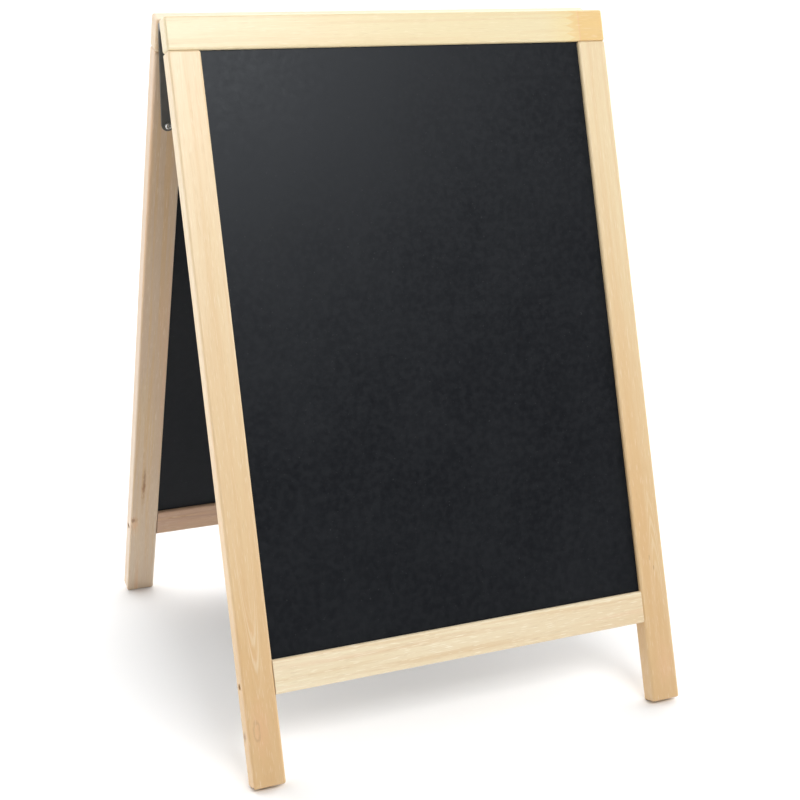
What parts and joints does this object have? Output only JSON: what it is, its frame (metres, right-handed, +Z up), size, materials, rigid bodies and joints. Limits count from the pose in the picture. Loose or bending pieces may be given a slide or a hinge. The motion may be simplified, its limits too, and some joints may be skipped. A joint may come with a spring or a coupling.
{
  "type": "sandwich board",
  "caption": "Folding wooden A-frame pavement board: chalk panels set in two hinged frames that open to a built-in stop and fold flat.",
  "frame": {"origin": "on the ground, midway between the four feet of the open board", "axes": "+Z up, +X across the board to the viewer's right, -Y out towards the front panel's viewer"},
  "size_m": [0.55, 0.5874, 0.8115],
  "materials": {
    "lacquered_wood": "pale hardwood under clear satin lacquer",
    "dowel_wood": "plain beech",
    "chalkboard": "wood-fibre board with matt black chalkboard coating",
    "black_hinge": "satin black enamel on steel",
    "zinc_steel": "bright zinc plate"
  },
  "bodies": {
    "front_frame": {"front_top_rail": "lacquered_wood", "front_left_stile": "lacquered_wood", "front_right_stile": "lacquered_wood", "front_bottom_rail": "lacquered_wood", "front_chalk_panel": "chalkboard", "front_top_rail_dowels": "dowel_wood", "front_bottom_rail_dowels": "dowel_wood", "front_bottom_rail_screws": "zinc_steel", "front_hinge_screws": "zinc_steel", "left_hinge_front_leaf": "black_hinge", "right_hinge_front_leaf": "black_hinge", "left_hinge_pin": "zinc_steel", "right_hinge_pin": "zinc_steel"},
    "rear_frame": {"rear_top_rail": "lacquered_wood", "rear_left_stile": "lacquered_wood", "rear_right_stile": "lacquered_wood", "rear_bottom_rail": "lacquered_wood", "rear_chalk_panel": "chalkboard", "rear_top_rail_dowels": "dowel_wood", "rear_bottom_rail_dowels": "dowel_wood", "rear_bottom_rail_screws": "zinc_steel", "rear_hinge_screws": "zinc_steel", "left_hinge_rear_leaf": "black_hinge", "right_hinge_rear_leaf": "black_hinge"}
  },
  "joints": [
    {"name": "fold", "type": "hinge", "parent": "front_frame", "child": "rear_frame", "pos_m": [0, 0, 0.79868], "axis": [1, 0, 0], "range_deg": [-37, 0]}
  ]
}
